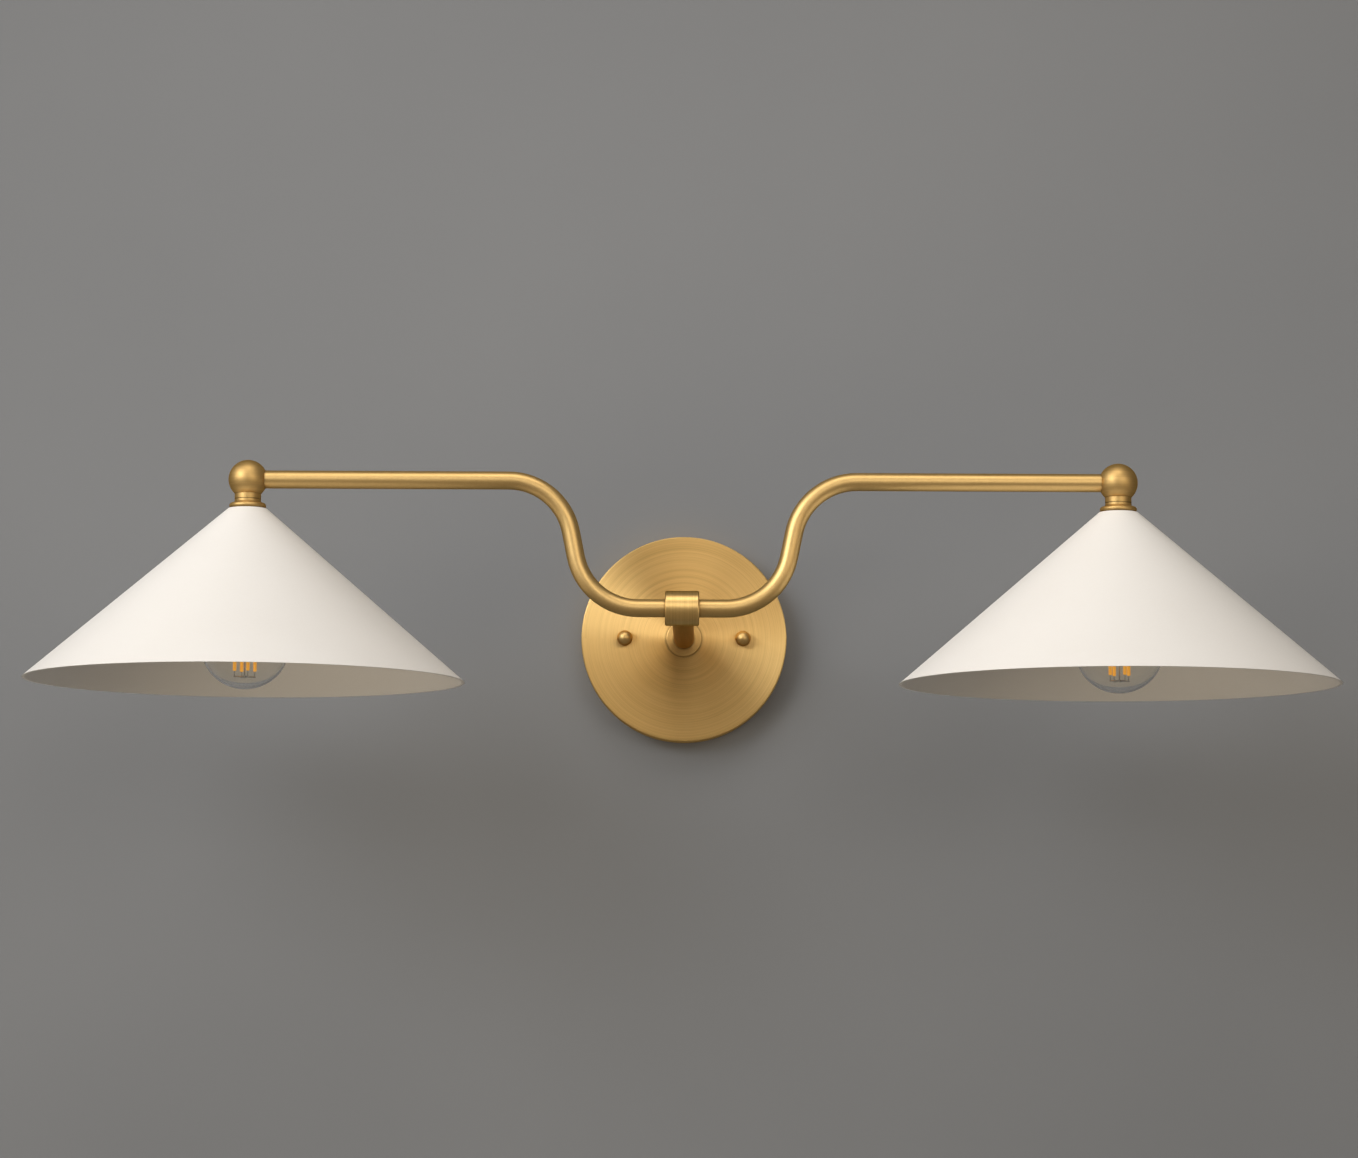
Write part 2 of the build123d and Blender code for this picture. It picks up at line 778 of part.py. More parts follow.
def make_wire(sign, polarity):
    """One insulated wire from its connector in the plate to its terminal in the lampholder.

    It follows the arm's centre line at a constant shift: above it for the live wire, below for the neutral.
    """
    shift = polarity * wire_offset
    low_corner, high_corner = arm_corners()
    low_corner = shifted_corner(low_corner, 0, arm_bend_angle, shift)
    high_corner = shifted_corner(high_corner, arm_bend_angle, 0, shift)
    down_x = head_x + shift
    terminal_x = head_x + polarity * terminal_offset
    splay_top = cap_hub_low - wire_diameter / 2
    splay_low = terminal_top + wire_terminal_run
    nut_end = wire_nut_from_axis + wire_in_nut
    points = [
        (sign * wire_offset, -splice_depth, polarity * nut_end),
        (sign * wire_offset, -splice_depth, shift),
        (sign * wire_offset, -arm_depth, shift),
        (sign * low_corner[0], -arm_depth, low_corner[1]),
        (sign * high_corner[0], -arm_depth, high_corner[1]),
        (sign * down_x, -arm_depth, arm_rise + shift),
        (sign * down_x, -arm_depth, splay_top),
        (sign * terminal_x, -arm_depth, splay_low),
        (sign * terminal_x, -arm_depth, terminal_top),
    ]
    radii = [
        wire_plate_bend,
        wire_collar_bend,
        arm_bend_radius - shift,
        arm_bend_radius + shift,
        elbow_radius + shift,
        wire_terminal_bend,
        wire_terminal_bend,
    ]
    path = FilletPolyline(*points, radius=radii)
    start = Plane(origin=path @ 0, z_dir=path % 0)
    wire = sweep(start * Circle(wire_diameter / 2), path)
    solid_share = wire.volume / (math.pi * wire_diameter**2 / 4 * path.length)
    print(f"wire of {path.length:.1f} mm, its volume over section times length is {solid_share:.5f}")
    return wire


def make_wire_nuts():
    """Two wire connectors, open towards the stem, above and below it."""
    caps = []
    for polarity in (1, -1):
        mouth = wire_nut_mouth_diameter / 2
        end = wire_nut_end_diameter / 2
        body = Cone(mouth, end, wire_nut_length, align=(Align.CENTER, Align.CENTER, Align.MIN))
        body -= rod_z(wire_nut_bore / 2, 0, wire_nut_bore_depth)
        placed = Pos(0, -splice_depth, polarity * wire_nut_from_axis)
        caps.append(placed * (body if polarity > 0 else Rot(180, 0, 0) * body))
    return Compound(caps)


def centre_pieces():
    yield "box_strap", make_box_strap()
    yield "swivel_bar", make_swivel_bar()
    yield "strap_rivet", make_strap_rivet()
    yield "ground_screw", make_ground_screw()
    yield "backplate", make_backplate()
    yield "mounting_studs", make_mounting_studs()
    yield "stud_nuts", make_stud_nuts()
    yield "stem_seat_ring", make_stem_seat_ring()
    yield "stem_nipple", make_nipple_y(stem_nipple_back, stem_start + stem_nipple_engagement)
    yield "stem_lock_washer", make_stem_lock_washer()
    yield "stem_hex_nut", make_stem_hex_nut()
    yield "stem", make_stem()
    yield "collar_nipple", make_nipple_y(
        stem_end - collar_nipple_engagement, arm_depth - tube_radius - loose_gap
    )
    yield "collar", make_collar()
    yield "collar_set_screw", make_collar_set_screw()
    yield "arm_tube", make_arm_tube()
    yield "wire_nuts", make_wire_nuts()


def side_pieces(side, sign):
    yield f"ball_nut_{side}", make_ball_nut(sign)
    yield f"wire_live_{side}", make_wire(sign, 1)
    yield f"wire_neutral_{side}", make_wire(sign, -1)
    yield f"end_ball_{side}", make_end_ball(sign)
    yield f"shade_neck_{side}", at_head(sign, make_neck())
    yield f"head_nipple_{side}", at_head(sign, make_head_nipple())
    yield f"shade_{side}", at_head(sign, make_shade())
    yield f"shade_washer_{side}", at_head(sign, make_shade_washer())
    yield f"shade_nut_{side}", at_head(sign, make_shade_nut())
    yield f"socket_cap_{side}", at_head(sign, make_socket_cap())
    yield f"socket_body_{side}", at_head(sign, make_socket_body())
    yield f"socket_screw_shell_{side}", at_head(sign, make_screw_shell())
    yield f"socket_contact_{side}", at_head(sign, make_socket_contact())
    yield f"socket_terminals_{side}", at_head(sign, make_socket_terminals())
    yield f"bulb_glass_{side}", at_head(sign, make_bulb_glass())
    yield f"bulb_base_{side}", at_head(sign, make_bulb_base())
    yield f"bulb_insulator_{side}", at_head(sign, make_bulb_insulator())
    yield f"bulb_tip_{side}", at_head(sign, make_bulb_tip())
    yield f"bulb_stem_{side}", at_head(sign, make_bulb_stem())
    yield f"bulb_filaments_{side}", at_head(sign, make_bulb_filaments())
    yield f"bulb_wires_{side}", at_head(sign, make_bulb_wires())


def main():
    os.makedirs("parts", exist_ok=True)
    pieces = list(centre_pieces())
    for side, sign in (("left", -1), ("right", 1)):
        pieces += side_pieces(side, sign)
    for name, shape in pieces:
        export_step(shape, f"parts/{name}.step")
    print(len(pieces), "pieces")


main()
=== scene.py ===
import math

import bpy
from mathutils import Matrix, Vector


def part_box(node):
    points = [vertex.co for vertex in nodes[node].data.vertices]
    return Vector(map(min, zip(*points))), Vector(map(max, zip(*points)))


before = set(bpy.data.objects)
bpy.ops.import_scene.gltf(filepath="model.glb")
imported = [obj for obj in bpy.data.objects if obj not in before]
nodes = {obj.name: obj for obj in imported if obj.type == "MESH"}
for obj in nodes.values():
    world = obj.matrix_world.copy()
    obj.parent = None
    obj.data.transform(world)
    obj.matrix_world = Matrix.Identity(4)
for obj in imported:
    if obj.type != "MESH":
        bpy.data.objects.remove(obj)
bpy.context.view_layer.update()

# The looks of a two-shade wall light: materials, a plain studio and the camera.
# Sizes in the materials, and the camera's sensor, are in millimetres, and everything else is in metres.

SIDES = ("left", "right")
MM_PER_METRE = 1000.0

# Camera, as the light was photographed: from in front, a little below the shades
IMAGE_WIDTH = 1358
FOCAL_LENGTH_PIXELS = 3780.2
SENSOR_WIDTH = 36.0
CAMERA_PLACE = (0.0142, -2.3447, -0.2165)
CAMERA_LEVEL = 90.0
CAMERA_PITCH = 6.218
CAMERA_ROLL = 0.309
CAMERA_YAW = 0.396

# Wall and floor
WALL_RADIUS = 6.0
WALL_BOX_RADIUS = 0.058
WALL_GAP = 0.0004
WALL_SEGMENTS = 128
FLOOR_HEIGHT = -3.2
FLOOR_SIZE = 120.0

# Sky
WORLD_COLOUR = (1.0, 0.91, 0.79, 1.0)
WORLD_BRIGHT = 0.43
WORLD_DARK = 0.06
WORLD_BRIGHT_SIDE = (-0.6, -0.2, 0.77)
WORLD_SPAN = (-0.4, 1.0)

# Lamps
LAMP_SPREAD = 80.0
LAMP_TARGET = (0.0, -0.15, 0.0)
KEY_PLACE = (-1.7, -1.55, 1.15)
KEY_SIZE = (2.1, 2.1)
KEY_POWER = 5.8
FRONT_PLACE = (0.9, -2.6, 0.75)
FRONT_SIZE = (2.0, 1.0)
FRONT_POWER = 2.8
SIDE_SIZE = (1.7, 1.0)
LEFT_PLACE = (-1.7, -2.2, 0.85)
LEFT_POWER = 4.0
RIGHT_PLACE = (1.9, -2.2, 0.26)
RIGHT_POWER = 1.0
TOP_PLACE = (0.0, -0.75, 1.12)
TOP_SIZE = (1.0, 0.6)
TOP_POWER = 0.95
LOW_PLACE = (-2.2, -1.5, -0.85)
LOW_SIZE = (1.6, 1.0)
LOW_POWER = 3.4
PURE_WHITE = (1.0, 1.0, 1.0)
SOFT_WHITE = (1.0, 0.93, 0.84)
WARM_WHITE = (1.0, 0.85, 0.64)

# Small helpers for shader trees

# Noise is from 0 to 1, but almost all of it lies between these two values.
NOISE_LOW = 0.25
NOISE_HIGH = 0.75
NOISE_MIDDLE = (NOISE_LOW + NOISE_HIGH) / 2
NOISE_REACH = (NOISE_HIGH - NOISE_LOW) / 2
GRAIN_ROUGHNESS = 0.5
LINE_ROUGHNESS = 0.6
LINE_DETAIL = 3.0


def add(tree, kind, **settings):
    """A shader node of that kind, with its settings."""
    made = tree.nodes.new("ShaderNode" + kind)
    for name, value in settings.items():
        setattr(made, name, value)
    return made


def feed(tree, value, socket):
    """Puts a plain value on a socket, or links another node's output to it."""
    if isinstance(value, bpy.types.NodeSocket):
        tree.links.new(value, socket)
    else:
        socket.default_value = value


def maths(tree, operation, first, second=0.0):
    made = add(tree, "Math", operation=operation)
    feed(tree, first, made.inputs[0])
    feed(tree, second, made.inputs[1])
    return made.outputs[0]


def place_mm(tree, origin=(0.0, 0.0, 0.0)):
    """The point on the object in millimetres from an origin given in metres, as x, y and z."""
    coordinates = add(tree, "TexCoord")
    shift = add(tree, "VectorMath", operation="SUBTRACT")
    tree.links.new(coordinates.outputs["Object"], shift.inputs[0])
    shift.inputs[1].default_value = origin
    scale = add(tree, "VectorMath", operation="SCALE")
    tree.links.new(shift.outputs[0], scale.inputs[0])
    scale.inputs["Scale"].default_value = MM_PER_METRE
    parts = add(tree, "SeparateXYZ")
    tree.links.new(scale.outputs[0], parts.inputs[0])
    return parts.outputs


def vector(tree, x, y, z):
    made = add(tree, "CombineXYZ")
    for value, socket in zip((x, y, z), made.inputs):
        feed(tree, value, socket)
    return made.outputs[0]


def distance(tree, first, second):
    """The length of two coordinates taken together."""
    squares = maths(tree, "ADD", maths(tree, "POWER", first, 2.0), maths(tree, "POWER", second, 2.0))
    return maths(tree, "SQRT", squares)


def noise(tree, place, detail, roughness, dimensions):
    """Noise with features of about one unit of the place given."""
    made = add(tree, "TexNoise", noise_dimensions=dimensions)
    tree.links.new(place, made.inputs["Vector"])
    made.inputs["Scale"].default_value = 1.0
    made.inputs["Detail"].default_value = detail
    made.inputs["Roughness"].default_value = roughness
    return made.outputs["Fac"]


def grain(tree, size, detail=2.0, stretch=(1.0, 1.0, 1.0)):
    """Noise with features of about that size, drawn out by the stretch along x, y and z."""
    x, y, z = place_mm(tree)
    spread = [maths(tree, "DIVIDE", part, size * share) for part, share in zip((x, y, z), stretch)]
    return noise(tree, vector(tree, *spread), detail, GRAIN_ROUGHNESS, "3D")


def lines(tree, across, size, along):
    """Fine lines of about that size, square to one coordinate, which drift slowly along another."""
    place = vector(tree, maths(tree, "DIVIDE", across, size), along, 0.0)
    return noise(tree, place, LINE_DETAIL, LINE_ROUGHNESS, "2D")


def spread_to(tree, value, low, high, span=(NOISE_LOW, NOISE_HIGH)):
    """A value brought from its span to a range of numbers."""
    made = add(tree, "MapRange")
    tree.links.new(value, made.inputs["Value"])
    made.inputs["From Min"].default_value = span[0]
    made.inputs["From Max"].default_value = span[1]
    made.inputs["To Min"].default_value = low
    made.inputs["To Max"].default_value = high
    return made.outputs["Result"]


def shades_of(tree, value, colours):
    """A colour from dark to light by noise, with the colours spread evenly over its range."""
    made = add(tree, "ValToRGB")
    stops = made.color_ramp.elements
    while len(stops) < len(colours):
        stops.new(NOISE_MIDDLE)
    for number, colour in enumerate(colours):
        stops[number].position = NOISE_LOW + 2 * NOISE_REACH * number / (len(colours) - 1)
        stops[number].color = (*colour, 1.0)
    tree.links.new(value, made.inputs["Fac"])
    return made.outputs["Color"]


def blend_values(tree, *weighted):
    """The sum of values, each times its weight."""
    total = 0.0
    for value, weight in weighted:
        total = maths(tree, "ADD", maths(tree, "MULTIPLY", value, weight), total)
    return total


def relief(tree, shader, height, depth, edge=0.0):
    """Bump of that depth, on edges that are eased by that radius."""
    made = add(tree, "Bump")
    made.inputs["Strength"].default_value = 1.0
    made.inputs["Distance"].default_value = depth / MM_PER_METRE
    tree.links.new(height, made.inputs["Height"])
    if edge:
        eased = add(tree, "Bevel", samples=6)
        eased.inputs["Radius"].default_value = edge / MM_PER_METRE
        tree.links.new(eased.outputs["Normal"], made.inputs["Normal"])
    tree.links.new(made.outputs["Normal"], shader.inputs["Normal"])


def new_material(name, **values):
    """A material, its tree and its shader, with the shader's plain values set."""
    material = bpy.data.materials.new(name)
    material.use_nodes = True
    tree = material.node_tree
    shader = tree.nodes["Principled BSDF"]
    for socket, value in values.items():
        shader.inputs[socket.replace("_", " ")].default_value = value
    return material, tree, shader


def dress(material, *names):
    """Puts a material on CAD nodes."""
    for name in names:
        slots = nodes[name].data.materials
        slots.clear()
        slots.append(material)


# Satin brass

BRASS = ((0.7, 0.467, 0.176), (0.82, 0.558, 0.22), (0.9, 0.634, 0.272))
TUBE_BRASS = ((0.62, 0.415, 0.165), (0.73, 0.5, 0.205), (0.81, 0.573, 0.255))
TURNED_BRASS = ((0.55, 0.36, 0.135), (0.65, 0.435, 0.168), (0.74, 0.51, 0.21))
BRASS_EDGE = (0.46, 0.29, 0.11, 1.0)
BRASS_CLOUD = 22.0
QUARTER_TURN = 0.25
# Painted shade in creases: how far it reaches in mm, its darkest share, and the occlusion span it spreads
# over
CREASE_REACH = 1.2
CREASE_SHADE = 0.3
CREASE_SPAN = (0.2, 1.0)

# The broad marks of the brushing, in sizes of the fine ones
BROADER = 4.0

# How fast brushed lines drift: per radian round an axis, and per millimetre along a line
RING_DRIFT = 1 / 3.0
LINE_DRIFT = 0.02


def painted_crease_shade(tree, colour):
    """Painted shade: the colour darkened by ambient occlusion in the corners where two pieces meet."""
    corner = add(tree, "AmbientOcclusion", samples=8)
    corner.inputs["Distance"].default_value = CREASE_REACH / MM_PER_METRE
    share = spread_to(tree, corner.outputs["AO"], CREASE_SHADE, 1.0, span=CREASE_SPAN)
    made = add(tree, "VectorMath", operation="SCALE")
    tree.links.new(colour, made.inputs[0])
    tree.links.new(share, made.inputs["Scale"])
    return made.outputs[0]


def satin_brass(
    name,
    brushing,
    size,
    tangent_axis="",
    colours=BRASS,
    contrast=1.0,
    rough=(0.36, 0.46),
    edge=0.25,
    depth=0.004,
    anisotropy=0.0,
):
    """Brushed brass. The brushing makes its fine and broad marks from a tree and the fine ones' size."""
    material, tree, shader = new_material(
        name,
        Metallic=1.0,
        Anisotropic=anisotropy,
        Anisotropic_Rotation=QUARTER_TURN,
        Specular_Tint=BRASS_EDGE,
    )
    fine, broad = brushing(tree, size)
    cloud = grain(tree, BRASS_CLOUD, detail=3.0)
    tone = blend_values(tree, (fine, 0.5), (broad, 0.4), (cloud, 0.1))
    reach = NOISE_REACH * contrast
    tone = spread_to(tree, tone, NOISE_MIDDLE - reach, NOISE_MIDDLE + reach)
    # The colour is darkened where pieces meet: painted shade in the creases
    colour = painted_crease_shade(tree, shades_of(tree, tone, colours))
    tree.links.new(colour, shader.inputs["Base Color"])
    wear = blend_values(tree, (fine, 0.5), (cloud, 0.5))
    tree.links.new(spread_to(tree, wear, *rough), shader.inputs["Roughness"])
    relief(tree, shader, blend_values(tree, (fine, 0.7), (broad, 0.3)), depth, edge)
    if tangent_axis:
        turned = add(tree, "Tangent", direction_type="RADIAL", axis=tangent_axis)
        tree.links.new(turned.outputs[0], shader.inputs["Tangent"])
    return material


def fine_and_broad(tree, size, across, along):
    """Two scales of lines square to one coordinate."""
    return lines(tree, across, size, along), lines(tree, across, BROADER * size, along)


def rings_about_x(tree, size):
    """Rings turned about the X axis."""
    x, y, z = place_mm(tree)
    return fine_and_broad(tree, size, x, blend_values(tree, (y, LINE_DRIFT), (z, LINE_DRIFT)))


def rings_about_y(tree, size):
    """Rings turned about the Y axis, on the face and on round the edge."""
    x, y, z = place_mm(tree)
    across = maths(tree, "ADD", distance(tree, x, z), y)
    angle = maths(tree, "ARCTAN2", z, x)
    return fine_and_broad(tree, size, across, blend_values(tree, (angle, RING_DRIFT)))


def rings_about_z(tree, size):
    """Rings turned about the Z axis."""
    x, y, z = place_mm(tree)
    return fine_and_broad(tree, size, z, blend_values(tree, (x, LINE_DRIFT), (y, LINE_DRIFT)))


def along_the_stem(tree, size):
    """Lines drawn along the stem, which runs along Y."""
    x, y, z = place_mm(tree)
    return fine_and_broad(tree, size, maths(tree, "ADD", x, z), blend_values(tree, (y, LINE_DRIFT)))


def even_satin(tree, size):
    """A blasted grain with no direction, for the arm that bends."""
    return grain(tree, size), grain(tree, BROADER * size)


def dress_plate():
    plate = satin_brass(
        "satin_brass_plate",
        rings_about_y,
        size=0.5,
        tangent_axis="Y",
        contrast=1.25,
        rough=(0.36, 0.44),
        depth=0.006,
        anisotropy=0.95,
    )
    ring = satin_brass(
        "satin_brass_ring",
        rings_about_y,
        size=0.3,
        tangent_axis="Y",
        colours=TURNED_BRASS,
        edge=0.1,
        anisotropy=0.7,
    )
    nut = satin_brass("satin_brass_nut", rings_about_y, size=0.3, colours=TURNED_BRASS, edge=0.2)
    dress(plate, "backplate")
    dress(ring, "stem_seat_ring")
    for side in SIDES:
        dress(nut, f"ball_nut_{side}")


def dress_arm():
    stem = satin_brass("satin_brass_stem", along_the_stem, size=0.3, colours=TURNED_BRASS)
    collar = satin_brass(
        "satin_brass_collar",
        rings_about_x,
        size=0.4,
        tangent_axis="X",
        contrast=1.6,
        edge=0.3,
        anisotropy=0.5,
    )
    tube = satin_brass(
        "satin_brass_tube",
        even_satin,
        size=0.4,
        colours=TUBE_BRASS,
        contrast=0.5,
        rough=(0.38, 0.46),
    )
    turned = satin_brass(
        "satin_brass_turned",
        rings_about_z,
        size=0.3,
        colours=TURNED_BRASS,
        rough=(0.44, 0.54),
        edge=0.2,
    )
    dress(stem, "stem")
    dress(collar, "collar")
    dress(tube, "arm_tube")
    for side in SIDES:
        dress(turned, f"end_ball_{side}", f"shade_neck_{side}")


# Shade paint

PAINT = ((0.865, 0.85, 0.832), (0.885, 0.873, 0.858), (0.9, 0.89, 0.877))
PAINT_ROUGH = (0.44, 0.56)
PAINT_CLOUD = 55.0
PAINT_PEEL = 1.3
PAINT_SPECK = 0.35
PAINT_DEPTH = 0.012
PAINT_EDGE = 0.35


def dress_shades():
    """Warm white powder coat with a faint orange peel."""
    material, tree, shader = new_material("shade_paint", Specular_IOR_Level=0.4)
    cloud = grain(tree, PAINT_CLOUD, detail=4.0)
    peel = grain(tree, PAINT_PEEL, detail=3.0)
    speck = grain(tree, PAINT_SPECK, detail=1.0)
    tone = blend_values(tree, (cloud, 0.6), (peel, 0.4))
    tree.links.new(shades_of(tree, tone, PAINT), shader.inputs["Base Color"])
    tree.links.new(spread_to(tree, peel, *PAINT_ROUGH), shader.inputs["Roughness"])
    relief(tree, shader, blend_values(tree, (peel, 0.75), (speck, 0.25)), PAINT_DEPTH, PAINT_EDGE)
    dress(material, *[f"shade_{side}" for side in SIDES])


# Glass and filaments of the bulbs

GLASS = ((0.965, 0.975, 0.975), (0.99, 0.995, 0.995))
GLASS_ROUGH = (0.0, 0.03)
GLASS_SMEAR = 14.0
AMBER = ((0.76, 0.31, 0.03), (0.9, 0.44, 0.06))
AMBER_ROUGH = (0.3, 0.45)
AMBER_CLOUD = 0.9
AMBER_DEPTH = 0.05
CHIP_PITCH = 1.1
CHIP_STRETCH = (40.0, 40.0, 1.0)


def dress_glass():
    """Clear blown glass with faint smears."""
    material, tree, shader = new_material("clear_glass", Transmission_Weight=1.0, IOR=1.47)
    smear = grain(tree, GLASS_SMEAR, detail=3.0)
    tree.links.new(shades_of(tree, smear, GLASS), shader.inputs["Base Color"])
    tree.links.new(spread_to(tree, smear, *GLASS_ROUGH), shader.inputs["Roughness"])
    for side in SIDES:
        dress(material, f"bulb_glass_{side}", f"bulb_stem_{side}")


def dress_filaments():
    """Amber silicone over the chips, with a faint glow."""
    material, tree, shader = new_material("amber_phosphor", Emission_Strength=0.65)
    cloud = grain(tree, AMBER_CLOUD)
    chips = grain(tree, CHIP_PITCH, detail=1.0, stretch=CHIP_STRETCH)
    tone = blend_values(tree, (cloud, 0.4), (chips, 0.6))
    colour = shades_of(tree, tone, AMBER)
    tree.links.new(colour, shader.inputs["Base Color"])
    tree.links.new(colour, shader.inputs["Emission Color"])
    tree.links.new(spread_to(tree, cloud, *AMBER_ROUGH), shader.inputs["Roughness"])
    relief(tree, shader, tone, AMBER_DEPTH)
    dress(material, *[f"bulb_filaments_{side}" for side in SIDES])


# Fittings, lampholders, bulb bases and wires

ZINC = ((0.46, 0.46, 0.44), (0.66, 0.66, 0.63))
GROUND_GREEN = ((0.03, 0.16, 0.045), (0.06, 0.26, 0.08))
PHENOLIC = ((0.012, 0.011, 0.01), (0.026, 0.024, 0.022))
CONTACT_BRASS = ((0.66, 0.47, 0.2), (0.8, 0.6, 0.29))
CAP_METAL = ((0.52, 0.52, 0.51), (0.7, 0.7, 0.69))
BLACK_GLASS = ((0.008, 0.008, 0.009), (0.016, 0.016, 0.018))
SOLDER = ((0.4, 0.4, 0.39), (0.6, 0.6, 0.58))
LEAD_WIRE = ((0.62, 0.61, 0.59), (0.82, 0.81, 0.79))
LIVE_BLACK = ((0.01, 0.01, 0.011), (0.022, 0.022, 0.024))
NEUTRAL_WHITE = ((0.66, 0.65, 0.61), (0.76, 0.75, 0.71))
CONNECTOR_ORANGE = ((0.68, 0.19, 0.025), (0.78, 0.25, 0.04))
CONNECTOR_ROUGH = (0.38, 0.5)
CONNECTOR_GRAIN = 0.6
CONNECTOR_RIBS = 14
CONNECTOR_RIB_DEPTH = 0.25

# The clouds on metal and on plastic, in sizes of their grain
METAL_CLOUD = 9.0
PLASTIC_CLOUD = 12.0


def metal(name, colours, size, rough, depth=0.006, edge=0.1):
    """Bare or plated metal with a grain of that size."""
    material, tree, shader = new_material(name, Metallic=1.0)
    fine = grain(tree, size, detail=3.0)
    cloud = grain(tree, METAL_CLOUD * size, detail=3.0)
    tone = blend_values(tree, (fine, 0.45), (cloud, 0.55))
    tree.links.new(shades_of(tree, tone, colours), shader.inputs["Base Color"])
    tree.links.new(spread_to(tree, tone, *rough), shader.inputs["Roughness"])
    relief(tree, shader, fine, depth, edge)
    return material


def plastic(name, colours, size, rough, depth=0.01, edge=0.15):
    """Moulded plastic with a grain of that size."""
    material, tree, shader = new_material(name)
    fine = grain(tree, size)
    cloud = grain(tree, PLASTIC_CLOUD * size, detail=3.0)
    tone = blend_values(tree, (fine, 0.5), (cloud, 0.5))
    tree.links.new(shades_of(tree, tone, colours), shader.inputs["Base Color"])
    tree.links.new(spread_to(tree, cloud, *rough), shader.inputs["Roughness"])
    relief(tree, shader, fine, depth, edge)
    return material


def dress_fittings():
    zinc = metal("zinc_steel", ZINC, size=1.2, rough=(0.28, 0.42))
    green = metal("green_screw", GROUND_GREEN, size=0.6, rough=(0.3, 0.42))
    dress(zinc, "box_strap", "strap_rivet", "swivel_bar", "mounting_studs", "stud_nuts", "stem_nipple")
    dress(zinc, "stem_lock_washer", "stem_hex_nut", "collar_nipple", "collar_set_screw")
    dress(green, "ground_screw")
    for side in SIDES:
        dress(zinc, f"head_nipple_{side}", f"shade_washer_{side}", f"shade_nut_{side}")


def dress_lampholders():
    phenolic = plastic("phenolic", PHENOLIC, size=0.7, rough=(0.36, 0.5))
    contact = metal("contact_brass", CONTACT_BRASS, size=0.8, rough=(0.22, 0.36))
    for side in SIDES:
        dress(phenolic, f"socket_cap_{side}", f"socket_body_{side}")
        dress(contact, f"socket_screw_shell_{side}", f"socket_contact_{side}", f"socket_terminals_{side}")


def dress_bulb_bases():
    cap = metal("bulb_cap_metal", CAP_METAL, size=0.9, rough=(0.2, 0.34))
    insulator = plastic("black_glass", BLACK_GLASS, size=1.0, rough=(0.08, 0.16))
    solder = metal("solder", SOLDER, size=1.5, rough=(0.3, 0.5), depth=0.25)
    lead = metal("lead_wire", LEAD_WIRE, size=0.6, rough=(0.12, 0.24), edge=0.0)
    for side in SIDES:
        dress(cap, f"bulb_base_{side}")
        dress(insulator, f"bulb_insulator_{side}")
        dress(solder, f"bulb_tip_{side}")
        dress(lead, f"bulb_wires_{side}")


def dress_wires():
    live = plastic("black_insulation", LIVE_BLACK, size=0.5, rough=(0.4, 0.52), edge=0.0)
    neutral = plastic("white_insulation", NEUTRAL_WHITE, size=0.5, rough=(0.4, 0.52), edge=0.0)
    for side in SIDES:
        dress(live, f"wire_live_{side}")
        dress(neutral, f"wire_neutral_{side}")


def middle_of(node):
    low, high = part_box(node)
    return (low + high) / 2


def dress_wire_nuts():
    """Orange connectors with grip ribs that fan out from the middle between the two."""
    material, tree, shader = new_material("wire_connector")
    x, y, z = place_mm(tree, middle_of("wire_nuts"))
    angle = maths(tree, "ARCTAN2", y, x)
    ribs = maths(tree, "SINE", maths(tree, "MULTIPLY", angle, CONNECTOR_RIBS))
    fine = grain(tree, CONNECTOR_GRAIN)
    tree.links.new(shades_of(tree, fine, CONNECTOR_ORANGE), shader.inputs["Base Color"])
    tree.links.new(spread_to(tree, fine, *CONNECTOR_ROUGH), shader.inputs["Roughness"])
    relief(tree, shader, blend_values(tree, (ribs, 0.8), (fine, 0.2)), CONNECTOR_RIB_DEPTH)
    dress(material, "wire_nuts")


# Studio

FLOOR_COLOURS = ((0.8, 0.74, 0.65), (0.83, 0.77, 0.68))
FLOOR_CLOUD = 900.0
WALL_COLOURS = ((0.222, 0.233, 0.251), (0.237, 0.248, 0.266))
WALL_CLOUD = 300.0


def put_in_scene(name, data):
    made = bpy.data.objects.new(name, data)
    bpy.context.scene.collection.objects.link(made)
    return made


def plain_surface(name, colours, size):
    """A matt surface with faint clouds of that size."""
    material, tree, shader = new_material(name, Roughness=0.9, Specular_IOR_Level=0.1)
    cloud = grain(tree, size, detail=4.0)
    tree.links.new(shades_of(tree, cloud, colours), shader.inputs["Base Color"])
    return material, tree, shader


def make_floor():
    half = FLOOR_SIZE / 2
    corners = [(-half, -half), (half, -half), (half, half), (-half, half)]
    mesh = bpy.data.meshes.new("floor")
    mesh.from_pydata([(x, y, FLOOR_HEIGHT) for x, y in corners], [], [(0, 1, 2, 3)])
    mesh.materials.append(plain_surface("pale_floor", FLOOR_COLOURS, FLOOR_CLOUD)[0])
    floor = put_in_scene("floor", mesh)


def wall_material():
    """A plain grey wall, open to the eye from behind, so that the light's back can be looked at."""
    material, tree, shader = plain_surface("grey_wall", WALL_COLOURS, WALL_CLOUD)
    output = tree.nodes["Material Output"]
    clear = add(tree, "BsdfTransparent")
    side = add(tree, "NewGeometry")
    choice = add(tree, "MixShader")
    tree.links.new(side.outputs["Backfacing"], choice.inputs["Fac"])
    tree.links.new(shader.outputs[0], choice.inputs[1])
    tree.links.new(clear.outputs[0], choice.inputs[2])
    tree.links.new(choice.outputs[0], output.inputs["Surface"])
    return material


def make_wall():
    """A wall with the round opening of its wall box, which the back plate covers."""
    points = []
    faces = []
    for number in range(WALL_SEGMENTS):
        turn = 2 * math.pi * number / WALL_SEGMENTS
        for radius in (WALL_BOX_RADIUS, WALL_RADIUS):
            points.append((radius * math.cos(turn), WALL_GAP, radius * math.sin(turn)))
        here = 2 * number
        following = 2 * ((number + 1) % WALL_SEGMENTS)
        faces.append((here, here + 1, following + 1, following))
    mesh = bpy.data.meshes.new("wall")
    mesh.from_pydata(points, [], faces)
    mesh.materials.append(wall_material())
    wall = put_in_scene("wall", mesh)


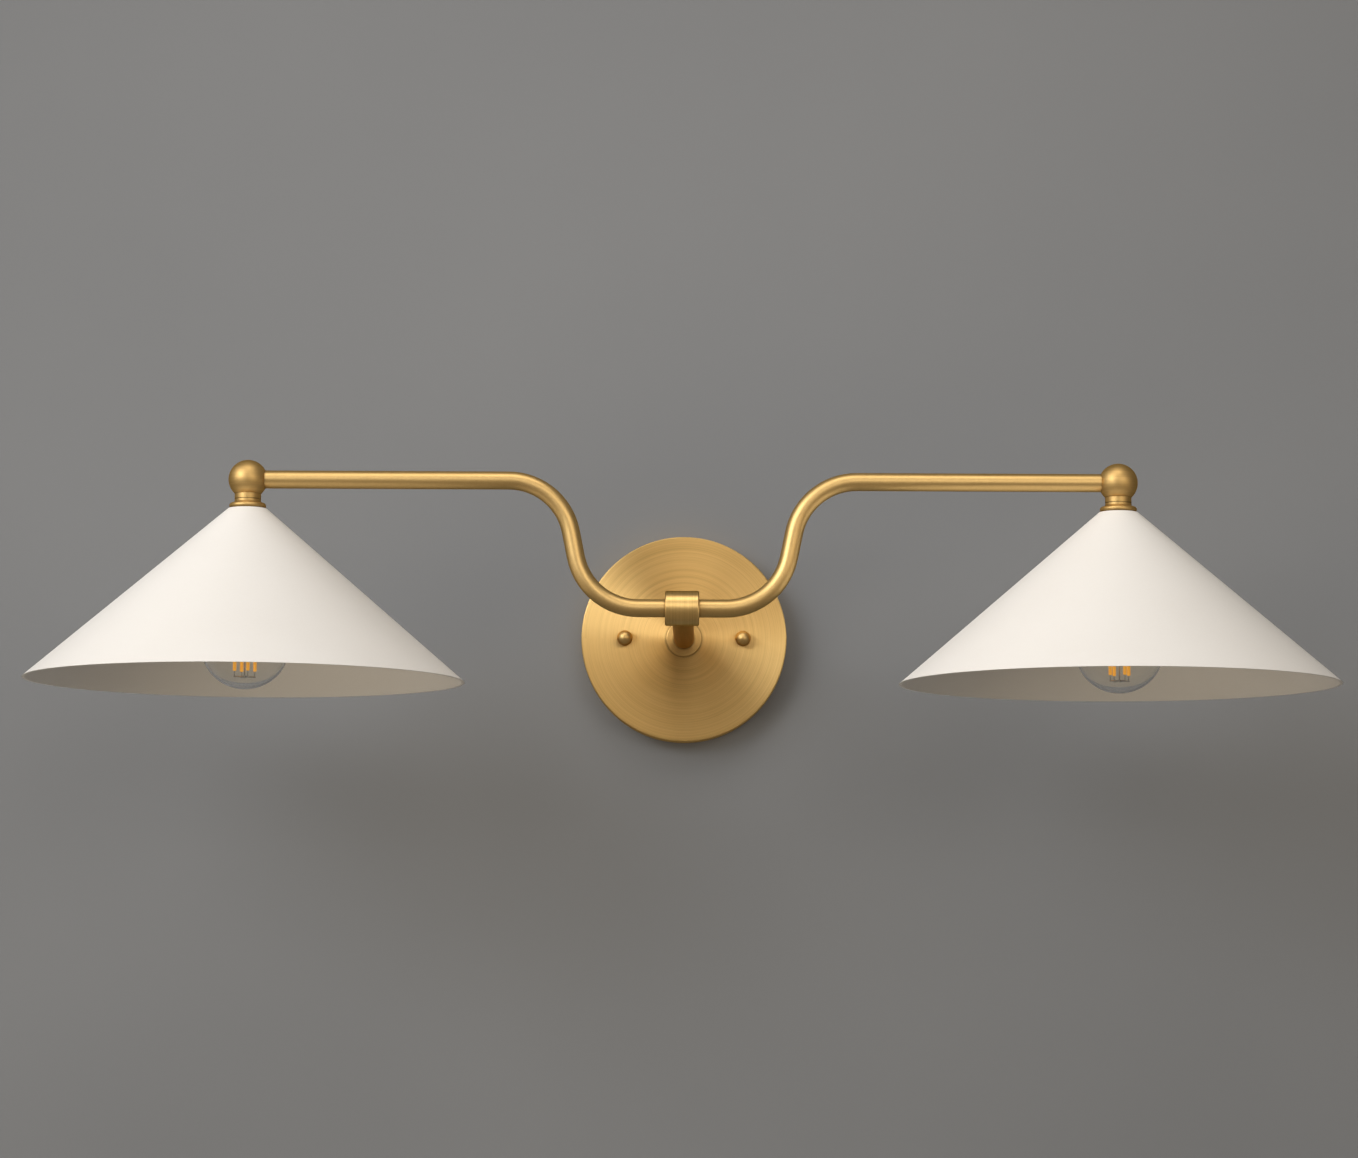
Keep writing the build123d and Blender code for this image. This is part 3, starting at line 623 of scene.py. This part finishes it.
def make_lamp(name, place, size, power, colour=PURE_WHITE, reflected=True):
    """A soft area lamp aimed at the light. One that isn't reflected doesn't show in the metal."""
    data = bpy.data.lights.new(name, "AREA")
    data.shape = "RECTANGLE"
    data.size, data.size_y = size
    data.spread = math.radians(LAMP_SPREAD)
    data.energy = power
    data.color = colour
    lamp = put_in_scene(name, data)
    lamp.location = place
    lamp.visible_glossy = reflected
    aim = Vector(LAMP_TARGET) - Vector(place)
    lamp.rotation_euler = aim.to_track_quat("-Z", "Y").to_euler()


def make_lamps():
    make_lamp("key", KEY_PLACE, KEY_SIZE, KEY_POWER)
    make_lamp("front", FRONT_PLACE, FRONT_SIZE, FRONT_POWER, SOFT_WHITE)
    make_lamp("left", LEFT_PLACE, SIDE_SIZE, LEFT_POWER)
    make_lamp("right", RIGHT_PLACE, SIDE_SIZE, RIGHT_POWER, WARM_WHITE)
    make_lamp("top", TOP_PLACE, TOP_SIZE, TOP_POWER, SOFT_WHITE)
    make_lamp("low", LOW_PLACE, LOW_SIZE, LOW_POWER, WARM_WHITE, reflected=False)


def make_world():
    """Soft light from all round, stronger from above and from the left."""
    world = bpy.data.worlds.new("studio")
    bpy.context.scene.world = world
    world.use_nodes = True
    tree = world.node_tree
    background = tree.nodes["Background"]
    background.inputs["Color"].default_value = WORLD_COLOUR
    facing = add(tree, "VectorMath", operation="DOT_PRODUCT")
    tree.links.new(add(tree, "TexCoord").outputs["Generated"], facing.inputs[0])
    facing.inputs[1].default_value = WORLD_BRIGHT_SIDE
    strength = spread_to(tree, facing.outputs["Value"], WORLD_DARK, WORLD_BRIGHT, span=WORLD_SPAN)
    tree.links.new(strength, background.inputs["Strength"])


def make_camera():
    data = bpy.data.cameras.new("camera")
    data.sensor_width = SENSOR_WIDTH
    data.lens = FOCAL_LENGTH_PIXELS / IMAGE_WIDTH * SENSOR_WIDTH
    camera = put_in_scene("camera", data)
    camera.location = CAMERA_PLACE
    turns = (CAMERA_LEVEL + CAMERA_PITCH, -CAMERA_ROLL, CAMERA_YAW)
    camera.rotation_euler = [math.radians(turn) for turn in turns]
    bpy.context.scene.camera = camera


dress_plate()
dress_arm()
dress_shades()
dress_glass()
dress_filaments()
dress_fittings()
dress_lampholders()
dress_bulb_bases()
dress_wires()
dress_wire_nuts()
make_floor()
make_wall()
make_lamps()
make_world()
make_camera()
bpy.context.scene.view_settings.view_transform = "Standard"
